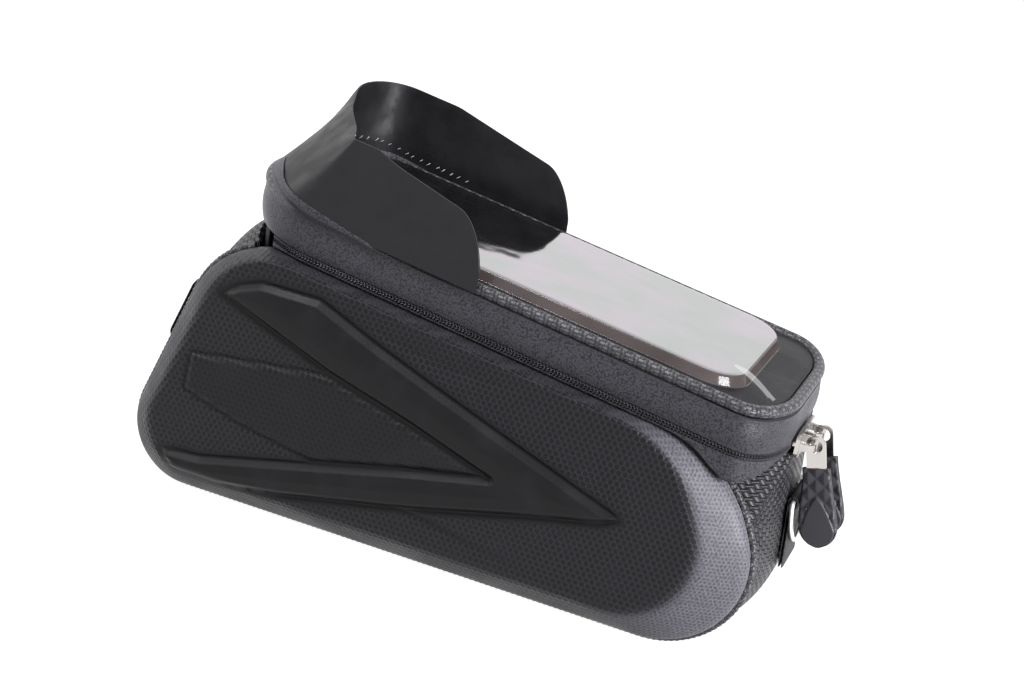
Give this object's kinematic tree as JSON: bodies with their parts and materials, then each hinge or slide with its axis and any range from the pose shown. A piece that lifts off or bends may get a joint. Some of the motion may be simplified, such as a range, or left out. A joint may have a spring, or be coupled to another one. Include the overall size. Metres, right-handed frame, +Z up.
{
  "type": "top tube phone bag",
  "caption": "Wedge-shaped bag with moulded sides that lies on a bicycle's top tube, with a zipped lid that holds a phone under a raised clear window, shaded by a curved visor.",
  "frame": {"origin": "centre of the bag's bounding box in plan, at the flat base that rests on the tube", "axes": "+X from the front of the bag to the rear, where the zip pulls hang; +Y across it; +Z up"},
  "size_m": [0.2284, 0.0934, 0.1346],
  "materials": {
    "moulded_fabric": "near-black moulded fabric with a fine hexagon weave",
    "woven_trim": "near-black woven trim with a checked weave",
    "coated_fabric": "near-black coated fabric with a fine grain",
    "padded_lining": "dark padded lining",
    "stiff_board": "plain dark board",
    "webbing": "black woven webbing",
    "zip_tape": "black woven tape",
    "zip_teeth": "black nylon coil",
    "clear_film": "clear glossy film",
    "visor_sheet": "satin black sheet",
    "plated_metal": "bright plated",
    "grip_rubber": "matte dark rubber"
  },
  "bodies": {
    "bag": {"side_shell_left": "moulded_fabric", "side_shell_right": "moulded_fabric", "gusset": "woven_trim", "seam_piping_left": "woven_trim", "seam_piping_right": "woven_trim", "base_board": "stiff_board", "base_keeper_front": "webbing", "base_keeper_rear": "webbing", "front_strap_loop": "webbing", "rear_webbing_tab": "webbing", "body_collar": "coated_fabric", "lower_zip_tape": "zip_tape", "lower_zip_teeth": "zip_teeth", "lid_hinge_strip": "zip_tape"},
    "lid": {"lid_wall": "coated_fabric", "lid_rim_piping": "woven_trim", "window_frame": "coated_fabric", "window_film": "clear_film", "visor": "visor_sheet", "phone_pocket_panel": "padded_lining", "upper_zip_tape": "zip_tape", "upper_zip_teeth": "zip_teeth"},
    "slider_left": {"zip_slider_left": "plated_metal"},
    "slider_right": {"zip_slider_right": "plated_metal"},
    "pull_left": {"pull_tab_left": "plated_metal", "rubber_grip_left": "grip_rubber"},
    "pull_right": {"pull_tab_right": "plated_metal", "rubber_grip_right": "grip_rubber"},
    "ring": {"d_ring": "plated_metal"}
  },
  "joints": [
    {"name": "lid_hinge", "type": "hinge", "parent": "bag", "child": "lid", "pos_m": [-0.0876, 0, 0.0961], "axis": [0, -1, 0], "range_deg": [0, 100]},
    {"name": "slider_left_run", "type": "slide", "parent": "bag", "child": "slider_left", "axis": [0, -1, 0], "range_m": [0, 0.01]},
    {"name": "slider_right_run", "type": "slide", "parent": "bag", "child": "slider_right", "axis": [0, 1, 0], "range_m": [0, 0.016]},
    {"name": "pull_left_swing", "type": "hinge", "parent": "slider_left", "child": "pull_left", "pos_m": [0.1017, -0.0085, 0.06765], "axis": [0, -1, 0], "range_deg": [0, 150]},
    {"name": "pull_right_swing", "type": "hinge", "parent": "slider_right", "child": "pull_right", "pos_m": [0.1017, 0.0035, 0.06765], "axis": [0, -1, 0], "range_deg": [0, 150]},
    {"name": "ring_swing", "type": "hinge", "parent": "bag", "child": "ring", "pos_m": [0.0993, 0, 0.0485], "axis": [0, -1, 0], "range_deg": [0, 9]}
  ]
}
